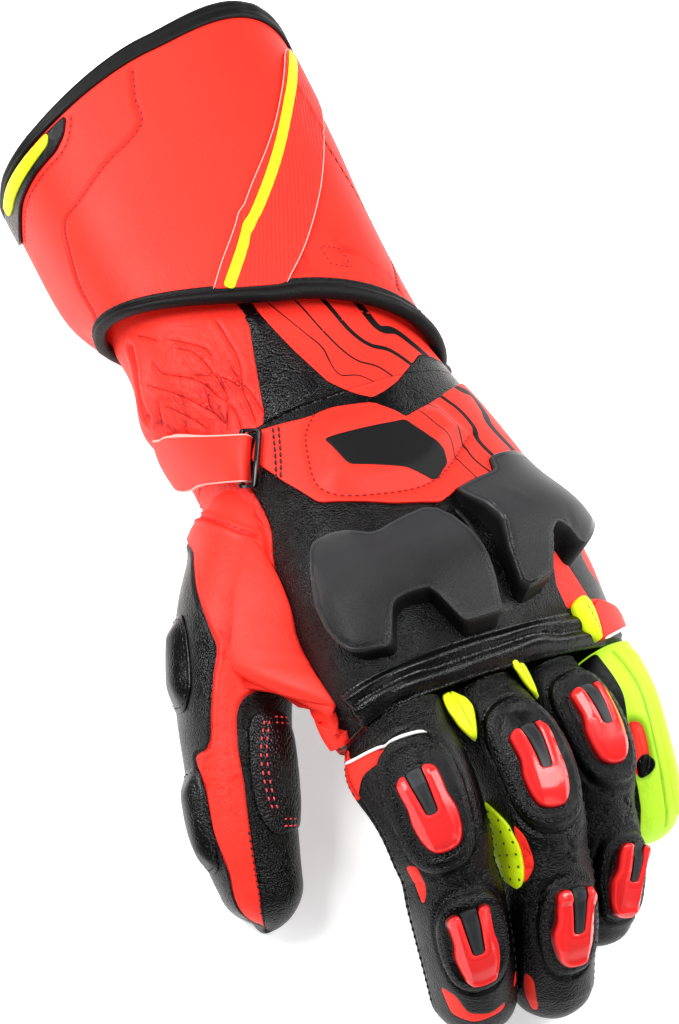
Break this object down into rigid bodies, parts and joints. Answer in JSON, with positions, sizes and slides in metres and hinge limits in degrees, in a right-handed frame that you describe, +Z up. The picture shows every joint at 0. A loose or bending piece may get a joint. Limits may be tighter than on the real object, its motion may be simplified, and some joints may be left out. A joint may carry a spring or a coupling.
{
  "type": "leather motorcycle glove",
  "caption": "Left-hand long-gauntlet leather motorcycle race glove with moulded knuckle guards, hard finger sliders, wrist strap and bound cuff.",
  "frame": {"origin": "bottom centre of the whole glove's box, on the surface it lies on", "axes": "+Y from the fingertips to the mouth of the gauntlet, +Z up from the palm to the back of the hand, +X towards the little-finger side"},
  "size_m": [0.157, 0.3232, 0.0752],
  "materials": {
    "red_leather": "smooth grain, semi-matte",
    "neon_leather": "smooth grain, semi-matte",
    "black_leather": "pebbled grain, satin",
    "edge_binding": "woven, matte",
    "armour": "moulded, satin",
    "slider": "moulded, gloss",
    "slider_insert": "moulded, gloss",
    "hardware": "moulded, gloss"
  },
  "bodies": {
    "root": {"gauntlet": "red_leather", "mouth_binding": "edge_binding", "hem_piping": "edge_binding", "wrist_sleeve": "red_leather", "back_panel": "black_leather", "side_panel": "red_leather", "palm_panel": "black_leather", "thumb": "red_leather", "index_finger": "black_leather", "middle_finger": "black_leather", "ring_finger": "black_leather", "little_finger": "neon_leather", "cuff_band": "red_leather", "cuff_stripe": "neon_leather", "cuff_tab": "black_leather", "cuff_tab_insert": "neon_leather", "wrist_panel": "red_leather", "stretch_insert": "black_leather", "knuckle_guard_inner": "armour", "knuckle_guard_outer": "armour", "thumb_pad_upper": "black_leather", "thumb_pad_lower": "black_leather", "thumb_grip": "black_leather", "middle_side_gusset": "neon_leather", "little_finger_pad": "neon_leather", "stretch_pleats": "black_leather", "wrist_strap": "red_leather", "strap_loop": "hardware", "index_middle_gusset": "neon_leather", "middle_ring_gusset": "neon_leather", "ring_little_gusset": "neon_leather", "index_slider_root": "slider", "index_slider_root_insert": "slider_insert", "index_slider_tip": "slider", "index_slider_tip_insert": "slider_insert", "middle_slider_root": "slider", "middle_slider_root_insert": "slider_insert", "middle_slider_tip": "slider", "middle_slider_tip_insert": "slider_insert", "ring_slider_root": "slider", "ring_slider_root_insert": "slider_insert", "ring_slider_tip": "slider", "ring_slider_tip_insert": "slider_insert"}
  },
  "joints": []
}
